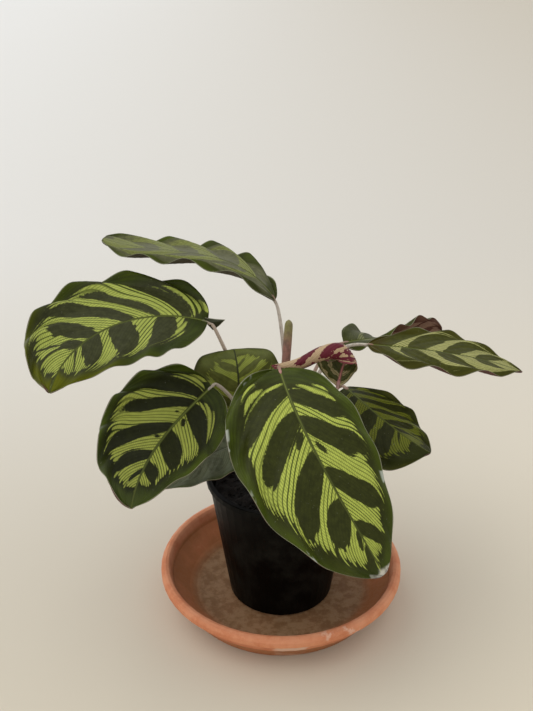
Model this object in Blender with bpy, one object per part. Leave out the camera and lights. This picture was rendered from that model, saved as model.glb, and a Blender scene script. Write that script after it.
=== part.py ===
"""Potted peacock plant: patterned leaves on thin stalks in a black nursery pot on a clay saucer.

Frame: metres, +Z up, origin at the centre of the saucer's underside. The driving dimensions below are in
millimetres and degrees. A heading of 0 points along +X, and a heading of 90 along +Y.
"""
import math
from typing import NamedTuple

import bmesh
import bpy
from mathutils import Vector

MM = 0.001
GAP = 0.3                        # clearance between pieces that touch

# Saucer
SAUCER_RIM_RADIUS = 87.0
SAUCER_BASE_RADIUS = 70.0
SAUCER_HEIGHT = 30.0
SAUCER_FLOOR = 7.0
SAUCER_FLOOR_RADIUS = 62.0
SAUCER_LIP_WIDTH = 6.5
SAUCER_LIP_HEIGHT = 9.0
SAUCER_WALL = 5.0
SAUCER_SEGMENTS = 56

# Nursery pot
POT_RIM_RADIUS = 52.5
POT_WALL_TOP_RADIUS = 50.6
POT_BASE_RADIUS = 37.0
POT_TOP = 104.0
POT_WALL = 1.2
POT_LIP_HEIGHT = 4.0
POT_FOOT_WIDTH = 5.0
POT_FOOT_HEIGHT = 2.0
POT_SEGMENTS = 44                # the soil inside has as many
DRAIN_HOLES = 6
DRAIN_HOLE_RADIUS = 4.0
DRAIN_RING_RADIUS = 23.0
DRAIN_HOLE_SIDES = 12

# Soil
SOIL_TOP = 91.0
SOIL_LUMP = 0.9
SOIL_RING_SHARES = (1.0, 0.70, 0.38)
HOLE_DEPTH = 26.0
HOLE_SIDES = 12

# Blades
BLADE_THICKNESS = 0.8
BLADE_ROWS = 24
ROW_CROWDING = 0.11              # how far the rows are drawn towards both ends of a blade
COLUMN_SHARES = (0.05, 0.36, 0.70, 1.0)
BLADE_END_WIDTH = 3.0
BLADE_END_THICKNESS = 2.2
BLADE_END_SHARE = 0.03
BLADE_TIP_WIDTH = 1.4
RIB_DEPTH_BASE = 1.4
RIB_DEPTH_TIP = 0.1
RIB_SHARE = 0.10
VEIN_SWEEP_NEAR = 0.10
VEIN_SWEEP_FAR = 0.20
VEIN_SWEEP_POWER = 2.2
WAVE_SPREAD = 1.6
WAVE_TAPER = 0.4
MIDRIB_STEPS = 200

# Stalks
STALK_FOOT_RADIUS = 1.8
STALK_NECK_RADIUS = 1.1
STALK_KNEE_RADIUS = 1.35
STALK_KNEE_LENGTH = 2.5          # straight stretch in front of the blade
STALK_STEPS = 15
STALK_ROUNDNESS = 2

# Young leaf, still half rolled up
YOUNG_MIDRIB = (
    (37, 0, 172), (40, 8, 180), (43, 11, 190), (38, 8, 199), (26, 6, 198), (10, 6, 189), (-7, 6, 184))
YOUNG_FOOT = (3, -3)
YOUNG_RISE = 40.0
YOUNG_REACH = 20.0
YOUNG_HALF_WIDTH = 17.0
YOUNG_FULLNESS = (0.60, 0.55)
YOUNG_ROLL_RADIUS = (16.0, 13.0, 5.4, 3.6, 2.4)   # radius of the roll, from the base to the tip
YOUNG_ROLL_STEP = 1.8            # how far one turn of the roll lies outside the next
YOUNG_OPENINGS = (               # the way that the roll opens, from the base to the tip
    (-0.3, -0.9, 0.4), (-0.5, -0.8, 0.0), (-0.5, -0.5, -0.7), (-0.3, -0.3, -0.9))
YOUNG_ROWS = 20
YOUNG_COLUMNS = 12

# Bud spear: the newest leaf, a closed roll
BUD_PATH = ((0, 3, 91), (-1, 11, 130), (2, 26, 165), (5, 42, 201))
BUD_RADII = (1.8, 1.5, 1.5, 1.6, 1.8, 2.7, 3.2, 3.3, 3.1)
BUD_CAP = 0.035                  # share of the length over which the blunt end rounds off
BUD_STEPS = 20


class Wave(NamedTuple):
    """Rise and fall of one margin: height in mm, number of waves and where the first one starts."""
    height: float
    count: float
    start: float


class Leaf(NamedTuple):
    """One leaf: its blade grows from base along a bent midrib, and its stalk stands at foot."""
    base: tuple          # where the blade meets its stalk
    heading: tuple       # direction of the midrib seen from above, at the base and at the tip
    pitch: tuple         # slope of the midrib at the base, the middle and the tip
    length: float
    half_width: float
    roll: tuple          # turn about the midrib that lifts the right half, at the base and at the tip
    fold: float          # how far both halves rise from the midrib
    lean: float          # share by which the right half is wider, and the left half narrower
    right: Wave
    left: Wave
    foot: tuple          # where the stalk stands in the soil
    rise: float          # how strongly the stalk keeps going straight up
    reach: float         # how strongly the stalk keeps to the blade's direction
    fullness: tuple = (0.52, 0.66)   # how the outline rounds off at the base and at the tip


LEAVES = {
    "front": Leaf(
        base=(-2, -8, 189), heading=(-80, -31), pitch=(-12, -38, -54), length=153, half_width=43,
        roll=(-5, -28), fold=4, lean=0.17, right=Wave(5.5, 4.0, 0.42), left=Wave(2.2, 4.2, 0.18),
        foot=(0, -10), rise=60, reach=6, fullness=(0.48, 0.65)),
    "upper_left": Leaf(
        base=(-50, 29, 206), heading=(178, 268), pitch=(17, -5, -18), length=141, half_width=46,
        roll=(10, 20), fold=-1, lean=0.15, right=Wave(4.4, 5.3, 0.30), left=Wave(1.8, 4.2, 0.48),
        foot=(-12, 40), rise=20, reach=2, fullness=(0.43, 0.82)),
    "middle_left": Leaf(
        base=(-47, 3, 170), heading=(233, 272), pitch=(-13, -3, 0), length=135, half_width=37,
        roll=(37, 9), fold=17, lean=0.09, right=Wave(4.0, 4.7, 0.33), left=Wave(1.8, 3.6, 0.35),
        foot=(-6, -4), rise=40, reach=7, fullness=(0.48, 0.68)),
    "low_left": Leaf(
        base=(-22, 0, 130), heading=(215, 225), pitch=(5, -5, -15), length=76, half_width=26,
        roll=(10, 0), fold=5, lean=0.0, right=Wave(1.0, 4.5, 0.3), left=Wave(1.0, 4.0, 0.6),
        foot=(-12, -4), rise=22, reach=10),
    "top": Leaf(
        base=(-4, 68, 205), heading=(157, 175), pitch=(58, 4, 20), length=138, half_width=38,
        roll=(-12,-10), fold=-2, lean=0.18, right=Wave(4.2,4.5,0.34), left=Wave(3.0,4.0,0.50),
        foot=(6, 10), rise=60, reach=8, fullness=(0.55,0.36)),
    "back": Leaf(
        base=(-29, 12, 140), heading=(98, 104), pitch=(84, 76, 5), length=53, half_width=30,
        roll=(0, 0), fold=-4, lean=0.0, right=Wave(2.4, 3.0, 0.40), left=Wave(2.4, 3.0, 0.40),
        foot=(-6, 12), rise=24, reach=10, fullness=(0.55, 0.30)),
    "right": Leaf(
        base=(61, 50, 179), heading=(-18, -2), pitch=(3, -5, -22), length=110, half_width=37,
        roll=(3, 5), fold=1, lean=-0.05, right=Wave(3.0, 3.6, 0.76), left=Wave(2.0, 3.9, 0.36),
        foot=(12, 2), rise=60, reach=35, fullness=(0.75, 0.90)),
    "right_behind": Leaf(
        base=(48, 98, 157), heading=(6, 20), pitch=(8, -3, -8), length=81, half_width=32,
        roll=(-8, 92), fold=4, lean=-0.2, right=Wave(2.6, 4.6, 0.62), left=Wave(2.5, 3.5, 0.6),
        foot=(10, 14), rise=50, reach=20, fullness=(0.42, 0.60)),
    "lower_right": Leaf(
        base=(44, 25, 158), heading=(-70, -39), pitch=(8, -9, -11), length=88, half_width=38,
        roll=(-14, 1), fold=-22, lean=0.12, right=Wave(4.0, 3.0, 0.97), left=Wave(2.2, 3.0, 0.64),
        foot=(8, -6), rise=40, reach=15),
}

COLOURS = {
    # name: base colour, roughness
    "clay": ((0.60, 0.26, 0.15), 0.85),
    "black_plastic": ((0.012, 0.012, 0.013), 0.45),
    "soil": ((0.035, 0.024, 0.016), 0.95),
    "blade": ((0.10, 0.17, 0.035), 0.40),
    "stalk": ((0.33, 0.22, 0.17), 0.50),
    "young_blade": ((0.28, 0.06, 0.08), 0.45),
    "bud": ((0.20, 0.17, 0.06), 0.50),
}


def mix(start, end, share):
    return start + (end - start) * share


def material(name, colour):
    """A new material for one piece, so that no two pieces share theirs."""
    base, roughness = COLOURS[colour]
    result = bpy.data.materials.new(name)
    result.use_nodes = True
    shader = result.node_tree.nodes["Principled BSDF"]
    shader.inputs["Base Color"].default_value = (*base, 1.0)
    shader.inputs["Roughness"].default_value = roughness
    shader.inputs["Metallic"].default_value = 0.0
    return result


def place(name, data, colour, parent):
    """Add an object to the scene under the empty that holds the plant."""
    piece = bpy.data.objects.new(name, data)
    piece.parent = parent
    data.materials.append(material(name, colour))
    bpy.context.scene.collection.objects.link(piece)
    return piece


def smooth(mesh, angle=35.0):
    mesh.shade_smooth()
    mesh.set_sharp_from_angle(angle=math.radians(angle))


def mesh_from(name, points, faces):
    """A mesh from points in millimetres and faces that index them."""
    mesh = bpy.data.meshes.new(name)
    mesh.from_pydata([Vector(p) * MM for p in points], [], faces)
    mesh.validate()
    smooth(mesh)
    return mesh


def flat(radius, angle):
    """No relief: the default for a turned surface."""
    return 0.0


def turned_mesh(name, profile, segments, relief=flat):
    """Turn a profile of (radius, height) points, which starts and ends on the axis, about Z."""
    step = math.tau / segments
    points = [(0.0, 0.0, profile[0][1])]
    for radius, height in profile[1:-1]:
        for k in range(segments):
            lift = relief(radius, k * step) if height > SOIL_TOP - 1.0 else 0.0
            points.append((radius * math.cos(k * step), radius * math.sin(k * step), height + lift))
    points.append((0.0, 0.0, profile[-1][1]))
    last = len(points) - 1
    rings = len(profile) - 2
    faces = []
    for k in range(segments):
        after = (k + 1) % segments
        faces.append((0, 1 + after, 1 + k))
        for ring in range(rings - 1):
            low = 1 + ring * segments
            high = low + segments
            faces.append((low + k, low + after, high + after, high + k))
        top = 1 + (rings - 1) * segments
        faces.append((top + k, top + after, last))
    return mesh_from(name, points, faces)


def cylinder_cutter(name, centres, radius, low, high, sides):
    """Upright cylinders at the given centres, as one hidden cutter."""
    bm = bmesh.new()
    for x, y in centres:
        cut = bmesh.ops.create_cone(
            bm, cap_ends=True, segments=sides, radius1=radius * MM, radius2=radius * MM,
            depth=(high - low) * MM)
        bmesh.ops.translate(bm, verts=cut["verts"], vec=Vector((x, y, (low + high) / 2)) * MM)
    mesh = bpy.data.meshes.new(name)
    bm.to_mesh(mesh)
    bm.free()
    cutter = bpy.data.objects.new(name, mesh)
    bpy.context.scene.collection.objects.link(cutter)
    cutter.hide_render = True
    cutter.display_type = "WIRE"
    return cutter


def cut(piece, cutter):
    modifier = piece.modifiers.new(cutter.name, "BOOLEAN")
    modifier.operation = "DIFFERENCE"
    modifier.solver = "EXACT"
    modifier.object = cutter


def saucer(parent):
    """A dish of fired clay: flat base, flared wall and a thicker rounded lip."""
    rim = SAUCER_RIM_RADIUS
    lip_inside = rim - SAUCER_LIP_WIDTH
    lip_foot = SAUCER_HEIGHT - SAUCER_LIP_HEIGHT
    wall_top = rim - 2.5
    profile = [
        (0, 0), (SAUCER_BASE_RADIUS - 1.5, 0), (SAUCER_BASE_RADIUS, 1.5),
        (wall_top, lip_foot), (rim, lip_foot + 2.5), (rim, SAUCER_HEIGHT - 3),
        (rim - 1.2, SAUCER_HEIGHT - 0.9), (rim - 3.2, SAUCER_HEIGHT),
        (lip_inside + 1.2, SAUCER_HEIGHT - 0.6), (lip_inside, SAUCER_HEIGHT - 2.5),
        (wall_top - SAUCER_WALL - 1, lip_foot - 1), (SAUCER_FLOOR_RADIUS + 5, SAUCER_FLOOR + 3),
        (SAUCER_FLOOR_RADIUS, SAUCER_FLOOR), (0, SAUCER_FLOOR)]
    return place("saucer", turned_mesh("saucer", profile, SAUCER_SEGMENTS), "clay", parent)


def pot_floor():
    """Height of the pot's inner floor."""
    return SAUCER_FLOOR + GAP + POT_FOOT_HEIGHT + POT_WALL


def pot_inner_radius(height):
    """Radius of the inside of the pot's wall at a height above the ground."""
    share = (height - pot_floor()) / (POT_TOP - pot_floor())
    return mix(POT_BASE_RADIUS, POT_WALL_TOP_RADIUS, share) - POT_WALL


def nursery_pot(parent):
    """A thin tapered shell with a lip, a foot ring and drainage holes."""
    foot = SAUCER_FLOOR + GAP
    lip_foot = POT_TOP - POT_LIP_HEIGHT
    profile = [
        (0, foot + POT_FOOT_HEIGHT), (POT_BASE_RADIUS - POT_FOOT_WIDTH - 1, foot + POT_FOOT_HEIGHT),
        (POT_BASE_RADIUS - POT_FOOT_WIDTH, foot), (POT_BASE_RADIUS - 0.8, foot), (POT_BASE_RADIUS, foot + 1),
        (POT_WALL_TOP_RADIUS, lip_foot), (POT_RIM_RADIUS, lip_foot), (POT_RIM_RADIUS, POT_TOP - 0.5),
        (POT_RIM_RADIUS - 0.5, POT_TOP), (pot_inner_radius(POT_TOP), POT_TOP),
        (pot_inner_radius(pot_floor()), pot_floor()), (0, pot_floor())]
    pot = place("nursery_pot", turned_mesh("nursery_pot", profile, POT_SEGMENTS), "black_plastic", parent)
    turn = math.tau / DRAIN_HOLES
    centres = [(DRAIN_RING_RADIUS * math.cos(k * turn), DRAIN_RING_RADIUS * math.sin(k * turn))
               for k in range(DRAIN_HOLES)]
    cut(pot, cylinder_cutter(
        "drain_holes_cutter", centres, DRAIN_HOLE_RADIUS, foot, pot_floor() + 2, DRAIN_HOLE_SIDES))
    return pot


def soil_relief(radius, angle):
    """Low lumps on the soil's surface."""
    return SOIL_LUMP * math.sin(0.21 * radius + 3 * angle) * math.cos(5 * angle - 0.13 * radius)


def soil(parent, feet):
    """The soil that fills the pot, with a plain blind hole for each stalk."""
    low = pot_floor() + GAP
    top_radius = pot_inner_radius(SOIL_TOP) - GAP
    profile = [(0, low), (pot_inner_radius(low) - GAP, low)]
    profile += [(top_radius * share, SOIL_TOP) for share in SOIL_RING_SHARES]
    profile.append((0, SOIL_TOP))
    body = place("soil", turned_mesh("soil", profile, POT_SEGMENTS, soil_relief), "soil", parent)
    radius = (STALK_FOOT_RADIUS + GAP) / math.cos(math.pi / HOLE_SIDES)
    cut(body, cylinder_cutter(
        "stalk_holes_cutter", feet, radius, SOIL_TOP - HOLE_DEPTH, SOIL_TOP + 5, HOLE_SIDES))
    return body


def heading_and_pitch(leaf, share):
    """Unit direction of the midrib at a share of its length."""
    heading = math.radians(mix(*leaf.heading, share))
    base, middle, tip = leaf.pitch
    slope = base * (1 - share) * (1 - 2 * share) + middle * 4 * share * (1 - share)
    pitch = math.radians(slope + tip * share * (2 * share - 1))
    level = math.cos(pitch)
    return Vector((level * math.cos(heading), level * math.sin(heading), math.sin(pitch)))


def midrib(leaf):
    """Points along the midrib at even steps, in millimetres."""
    points = [Vector(leaf.base)]
    step = leaf.length / MIDRIB_STEPS
    for k in range(MIDRIB_STEPS):
        points.append(points[-1] + heading_and_pitch(leaf, (k + 0.5) / MIDRIB_STEPS) * step)
    return points


def blade_frame(leaf, points, share):
    """Midrib point, the direction to the right margin and the blade's own up direction."""
    position = min(share * MIDRIB_STEPS, MIDRIB_STEPS - 1e-6)
    index = int(position)
    point = points[index].lerp(points[index + 1], position - index)
    along = heading_and_pitch(leaf, share)
    side = along.cross(Vector((0, 0, 1))).normalized()
    up = side.cross(along)
    roll = math.radians(mix(*leaf.roll, share))
    return point, side * math.cos(roll) + up * math.sin(roll), up * math.cos(roll) - side * math.sin(roll)


def outline(fullness, share):
    """Half width of a blade at a share of its length, as a share of its largest."""
    base, tip = fullness
    widest = base / (base + tip)
    return (share / widest) ** base * ((1 - share) / (1 - widest)) ** tip


def blade_point(leaf, points, share, across):
    """A point of the upper face; across runs from -1 at the left margin to 1 at the right margin."""
    point, side, up = blade_frame(leaf, points, share)
    far = abs(across)
    width = leaf.half_width * outline(leaf.fullness, share) * (1 + math.copysign(leaf.lean, across))
    reach = far * max(width, mix(BLADE_END_WIDTH, BLADE_TIP_WIDTH, share) / 2)
    wave = leaf.right if across > 0 else leaf.left
    vein = share - VEIN_SWEEP_NEAR * far - VEIN_SWEEP_FAR * far ** VEIN_SWEEP_POWER
    swell = wave.height * far ** WAVE_SPREAD * max(0.0, math.sin(math.pi * share)) ** WAVE_TAPER
    height = reach * math.sin(math.radians(leaf.fold))
    height += swell * math.sin(math.tau * (wave.count * vein + wave.start))
    return point + side * math.copysign(reach * math.cos(math.radians(leaf.fold)), across) + up * height


def blade_normal(leaf, points, share, across):
    """The upper face's own normal, from two short steps along it."""
    small = 0.004
    before, after = max(share - small, 0.0), min(share + small, 1.0)
    left, right = max(across - small, -1.0), min(across + small, 1.0)
    along = blade_point(leaf, points, after, across) - blade_point(leaf, points, before, across)
    over = blade_point(leaf, points, share, right) - blade_point(leaf, points, share, left)
    return over.cross(along).normalized()


def blade_depth(share, across):
    """Thickness of a blade, with the rib under its middle and a stout end at the stalk."""
    rib = mix(RIB_DEPTH_BASE, RIB_DEPTH_TIP, share) * max(0.0, 1 - abs(across) / RIB_SHARE)
    end = max(0.0, 1 - share / BLADE_END_SHARE)
    return mix(BLADE_THICKNESS + rib, BLADE_END_THICKNESS, end)


def sheet_faces(rows, columns):
    """Faces of a thin sheet: an upper and a lower grid with the same diagonals, joined at the edge."""
    width = columns + 1
    lower = (rows + 1) * width
    faces = []
    for r in range(rows):
        for c in range(columns):
            a = r * width + c
            b, d = a + 1, a + width
            e = d + 1
            faces += [(a, b, e), (a, e, d)]
            faces += [(lower + a, lower + e, lower + b), (lower + a, lower + d, lower + e)]
    edge = [c for c in range(columns)]
    edge += [r * width + columns for r in range(rows)]
    edge += [rows * width + c for c in range(columns, 0, -1)]
    edge += [r * width for r in range(rows, 0, -1)]
    for here, after in zip(edge, edge[1:] + edge[:1]):
        faces += [(here, lower + here, lower + after), (here, lower + after, after)]
    return faces


def blade(name, leaf, parent):
    """A waved blade with its rib; every grid row runs from the left margin to the right one."""
    points = midrib(leaf)
    columns = [-share for share in reversed(COLUMN_SHARES)] + [0.0] + list(COLUMN_SHARES)
    steps = [r / BLADE_ROWS for r in range(BLADE_ROWS + 1)]
    shares = [step - ROW_CROWDING * math.sin(math.tau * step) for step in steps]
    upper, lower = [], []
    for share in shares:
        share = min(max(share, 0.0), 1.0)
        for across in columns:
            point = blade_point(leaf, points, share, across)
            inner = min(max(share, 0.004), 0.996)
            normal = blade_normal(leaf, points, inner, across * 0.996)
            up = blade_frame(leaf, points, share)[2]
            down = up.lerp(normal, min(1.0, share / BLADE_END_SHARE)).normalized()
            upper.append(point)
            lower.append(point - down * blade_depth(share, across))
    mesh = mesh_from(name, upper + lower, sheet_faces(BLADE_ROWS, len(columns) - 1))
    return place(name, mesh, "blade", parent)


def bezier(a, b, c, d, share):
    rest = 1 - share
    return a * rest ** 3 + b * (3 * rest ** 2 * share) + c * (3 * rest * share ** 2) + d * share ** 3


def tube(name, points, radii, colour, parent):
    """A round stem through points in millimetres, with its own radius at each of them."""
    curve = bpy.data.curves.new(name, "CURVE")
    curve.dimensions = "3D"
    curve.bevel_depth = MM
    curve.bevel_resolution = STALK_ROUNDNESS
    curve.use_fill_caps = True
    spline = curve.splines.new("POLY")
    spline.points.add(len(points) - 1)
    for target, point, radius in zip(spline.points, points, radii):
        target.co = (*(Vector(point) * MM), 1.0)
        target.radius = radius
    spline.use_smooth = True
    return place(name, curve, colour, parent)


def stalk(name, foot, rise, end, direction, reach, parent):
    """A stalk: straight in its hole in the soil, then bending over to the blade's base."""
    ground = Vector((*foot, SOIL_TOP))
    start = ground - Vector((0, 0, HOLE_DEPTH - GAP))
    points, radii = [start], [STALK_FOOT_RADIUS]
    knee_start = end - direction * STALK_KNEE_LENGTH
    for k in range(STALK_STEPS + 1):
        share = k / STALK_STEPS
        points.append(bezier(
            ground, ground + Vector((0, 0, rise)), knee_start - direction * reach, knee_start, share))
        radii.append(mix(STALK_FOOT_RADIUS, STALK_NECK_RADIUS, share))
    points.append(end)
    radii.append(STALK_KNEE_RADIUS)
    return tube(name, points, radii, "stalk", parent)


def leaf_stalk(name, leaf, parent):
    direction = heading_and_pitch(leaf, 0.0)
    point, _, up = blade_frame(leaf, midrib(leaf), 0.0)
    end = point - up * (BLADE_END_THICKNESS / 2) - direction * GAP
    return stalk(name, leaf.foot, leaf.rise, end, direction, leaf.reach, parent)


def through(points, share):
    """A point of the smooth curve that passes through all the given points."""
    ends = [Vector(p) for p in points]
    ends = [ends[0] * 2 - ends[1]] + ends + [ends[-1] * 2 - ends[-2]]
    position = min(share, 1 - 1e-9) * (len(points) - 1)
    index = int(position)
    t = position - index
    a, b, c, d = ends[index:index + 4]
    bend = 2 * a - 5 * b + 4 * c - d
    twist = 3 * b - a - 3 * c + d
    return 0.5 * (2 * b + (c - a) * t + bend * t ** 2 + twist * t ** 3)


def along_list(values, share):
    """A value read from a list that runs from share 0 to share 1."""
    position = min(share, 1 - 1e-9) * (len(values) - 1)
    index = int(position)
    return mix(values[index], values[index + 1], position - index)


def young_direction(share):
    small = 0.01
    ahead = through(YOUNG_MIDRIB, min(share + small, 1.0))
    return (ahead - through(YOUNG_MIDRIB, max(share - small, 0.0))).normalized()


def young_blade(parent):
    """A young blade whose margins still curl over its upper face, tighter towards the tip."""
    upper, lower = [], []
    for r in range(YOUNG_ROWS + 1):
        share = r / YOUNG_ROWS
        centre = through(YOUNG_MIDRIB, share)
        direction = young_direction(share)
        opening = along_list([Vector(way) for way in YOUNG_OPENINGS], share)
        opening = (opening - direction * opening.dot(direction)).normalized()
        side = direction.cross(opening)
        radius = along_list(YOUNG_ROLL_RADIUS, share)
        half = max(YOUNG_HALF_WIDTH * outline(YOUNG_FULLNESS, share), 1.5)
        for c in range(YOUNG_COLUMNS + 1):
            angle = (2 * c / YOUNG_COLUMNS - 1) * half / radius
            ray = side * math.sin(angle) - opening * math.cos(angle)
            out = radius + YOUNG_ROLL_STEP * angle / math.tau
            axis = centre + opening * radius
            upper.append(axis + ray * (out - BLADE_THICKNESS / 2))
            lower.append(axis + ray * (out + BLADE_THICKNESS / 2))
    mesh = mesh_from("young_blade", upper + lower, sheet_faces(YOUNG_ROWS, YOUNG_COLUMNS))
    return place("young_blade", mesh, "young_blade", parent)


def young_stalk(parent):
    direction = young_direction(0.0)
    end = Vector(YOUNG_MIDRIB[0]) - direction * GAP
    return stalk("young_stalk", YOUNG_FOOT, YOUNG_RISE, end, direction, YOUNG_REACH, parent)


def bud_spear(parent):
    """The newest leaf: a closed roll with a blunt end, on a slim stalk of its own."""
    foot = Vector((BUD_PATH[0][0], BUD_PATH[0][1], SOIL_TOP - HOLE_DEPTH + GAP))
    points, radii = [foot], [BUD_RADII[0]]
    for k in range(BUD_STEPS + 1):
        share = 1 - (1 - k / BUD_STEPS) ** 1.5
        cap = min(max(0.0, share - 1 + BUD_CAP) / BUD_CAP, 0.95)
        points.append(through(BUD_PATH, share))
        radii.append(along_list(BUD_RADII, share) * math.sqrt(1 - cap * cap))
    return tube("bud_spear", points, radii, "bud", parent)


def clear_scene():
    for old in list(bpy.data.objects):
        bpy.data.objects.remove(old, do_unlink=True)


def build():
    clear_scene()
    plant = bpy.data.objects.new("plant_on_saucer", None)
    bpy.context.scene.collection.objects.link(plant)
    saucer(plant)
    nursery_pot(plant)
    feet = [leaf.foot for leaf in LEAVES.values()] + [YOUNG_FOOT, BUD_PATH[0][:2]]
    soil(plant, feet)
    for name, leaf in LEAVES.items():
        blade(name + "_blade", leaf, plant)
        leaf_stalk(name + "_stalk", leaf, plant)
    young_blade(plant)
    young_stalk(plant)
    bud_spear(plant)


build()
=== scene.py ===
"""Dressed scene of the potted peacock plant: blades with markings, stalks, bud, clay, plastic and soil.

The driving values are in millimetres and degrees, as in the part's own source. The stage is in metres.
"""
import math
from typing import NamedTuple

import bpy
import numpy as np
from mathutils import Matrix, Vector


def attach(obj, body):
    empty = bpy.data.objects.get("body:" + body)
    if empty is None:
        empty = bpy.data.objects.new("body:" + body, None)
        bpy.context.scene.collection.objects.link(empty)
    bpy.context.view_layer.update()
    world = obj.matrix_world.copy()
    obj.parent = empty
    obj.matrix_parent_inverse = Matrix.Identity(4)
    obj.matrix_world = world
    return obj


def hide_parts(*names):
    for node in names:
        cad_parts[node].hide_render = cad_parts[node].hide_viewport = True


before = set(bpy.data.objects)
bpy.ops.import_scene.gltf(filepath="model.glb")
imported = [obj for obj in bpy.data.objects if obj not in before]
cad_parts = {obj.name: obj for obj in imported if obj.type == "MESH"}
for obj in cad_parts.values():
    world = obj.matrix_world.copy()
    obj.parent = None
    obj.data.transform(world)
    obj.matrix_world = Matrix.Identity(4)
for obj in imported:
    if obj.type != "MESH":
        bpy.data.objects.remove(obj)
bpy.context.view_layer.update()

MM = 0.001
GAP = 0.3  # room between pieces that touch

# Blades, as in the part's source
BLADE_END_WIDTH = 3.0
BLADE_END_THICKNESS = 2.2
BLADE_END_SHARE = 0.03
BLADE_TIP_WIDTH = 1.4
WAVE_SWEEP_NEAR = 0.10
WAVE_SWEEP_FAR = 0.20
WAVE_SWEEP_POWER = 2.2
WAVE_SPREAD = 1.6
WAVE_TAPER = 0.4
MIDRIB_STEPS = 200

# Blades, finer than in the part's source
BLADE_ROWS = 132
BLADE_COLUMNS = 68
ROW_CROWDING = 0.06  # draws the rows towards both ends
COLUMN_POWER = 1.12  # draws the columns towards the midrib
SHEET_THICKNESS = 0.42
SHEET_DROP = 0.12  # depth of the fine upper face under the solid's
GROOVE_DEPTH = 0.45
GROOVE_WIDTH = 1.3
RIB_DEPTHS = (1.5, 0.15)  # at the base and at the tip
RIB_WIDTH = 1.6
RIB_BANDS = (1.25, 0.5)  # how far the rib's colour reaches, at the base and at the tip
PLEAT_HEIGHT = 0.16
PLEAT_VEINS = 3  # side veins in one pleat
PLEAT_FADE = 0.5  # flattens the pleats towards both ends

# Side veins, in shares along the blade and out from the midrib
VEIN_COUNT = 42  # on each half of a blade
VEIN_SWEEP = 0.39  # towards the tip, on the way to the margin
VEIN_SWEEP_GROWTH = 0.25  # length over which it grows
VEIN_SWEEP_BEND = 1.5
VEIN_HOOK = 0.65  # how sharply a vein turns along the margin
VEIN_HOOK_POWER = 7
CURL_FAR = 0.45  # how far out veins begin to run back
CURL_START = 0.05  # share of the length where they do
CURL_GROWTH = 0.35  # length over which that grows

# Markings
OVAL_POWER = 2.2
OVAL_MIDDLE = 0.44  # of its reach out from the midrib
OVAL_HALF_LENGTH = 0.57
TAIL_HALF = 0.006  # of the line from an oval to the margin
TAIL_START = 0.9  # of the oval's reach
TAIL_SLOPE = 0.1
LIGHT_SLANT = 0.07  # how far the light zone's beginning leans
LIGHT_BEGIN_SLOPE = 6

# Stalks, as in the part's source
SOIL_TOP = 91.0
HOLE_DEPTH = 26.0
STALK_FOOT_RADIUS = 1.8
STALK_NECK_RADIUS = 1.1
STALK_KNEE_RADIUS = 1.35
STALK_KNEE_LENGTH = 2.5

# Stalks, finer than in the part's source
STALK_POINTS = (5, 64, 9)  # in its hole, along its bend, and at its knee
KNEE_RUN = 5.0  # how far it runs on under its blade
KNEE_SPAN = (-1.2, 1.0)  # the knee's profile, on a circle
KNEE_SHOULDER = -0.5  # the profile is level up to here
KNEE_LEAST = 0.06  # least square of its height
STEM_SIDES = 14
STEM_START_SIDE = (0.3, 1.0, 0.2)
STEM_CAP = 0.4  # height of its end, in radii

# Young leaf, as in the part's source
YOUNG_MIDRIB = (
    (37, 0, 172), (40, 8, 180), (43, 11, 190), (38, 8, 199), (26, 6, 198), (10, 6, 189), (-7, 6, 184))
YOUNG_FOOT = (3, -3)
YOUNG_RISE = 40.0
YOUNG_REACH = 20.0
YOUNG_HALF_WIDTH = 17.0
YOUNG_LEAST_HALF = 1.5
YOUNG_FULLNESS = (0.60, 0.55)
YOUNG_ROLL_RADIUS = (16.0, 13.0, 5.4, 3.6, 2.4)
YOUNG_ROLL_STEP = 1.8
YOUNG_OPENINGS = ((-0.3, -0.9, 0.4), (-0.5, -0.8, 0.0), (-0.5, -0.5, -0.7), (-0.3, -0.3, -0.9))
DIRECTION_STEP = 0.01  # share of the length

# Young leaf, finer than in the part's source
YOUNG_ROWS = 110
YOUNG_COLUMNS = 64
UNCURL_PLACE = 0.18  # where the left side has uncurled most
UNCURL_LENGTH = 0.16
UNCURL_RADIUS = 1.2  # how much wider the roll is there, and the blade
UNCURL_WIDTH = 0.55
CREASE_HEIGHT = 0.18
CREASE_COUNT = 20
YOUNG_RIB_DEPTH = 0.8
YOUNG_RIB_WIDTH = 2.0

# Bud spear
BUD_PATH = ((0, 3, 91), (-1, 11, 130), (2, 26, 165), (5, 42, 201))
BUD_RADII = (1.8, 1.5, 1.5, 1.6, 1.8, 2.7, 3.2, 3.3, 3.1)
BUD_CAP = 0.035
BUD_CAP_LIMIT = 0.98  # keeps its end from closing to a point
BUD_POINTS = 120
BUD_CROWDING = 0.8  # draws the points upwards
BUD_SIDES = 40
SEAM_DEPTH = 0.16
SEAM_TURN = 5.0  # radians from the foot to the top
SEAM_START = 0.55
SEAM_GROWTH = 0.15

# Ear of the upper left blade, from that blade's base
EAR_CORNERS = ((-2.0, 0.0, 2.5), (5.0, 1.0, 1.0), (11.5, 1.0, 0.5), (7.5, 1.5, -4.0), (3.0, 1.5, -7.5))
EAR_ROOT = (-2.0, 0.0, -1.0)
EAR_BULGE = 1.2
EAR_GRID = (16, 8)
EAR_SHARE = 0.02  # where its skin lies in the upper left blade's markings
EAR_FAR = 0.9
EAR_REACH = 11.0  # past the rib
EAR_INSET = 6.0

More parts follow.
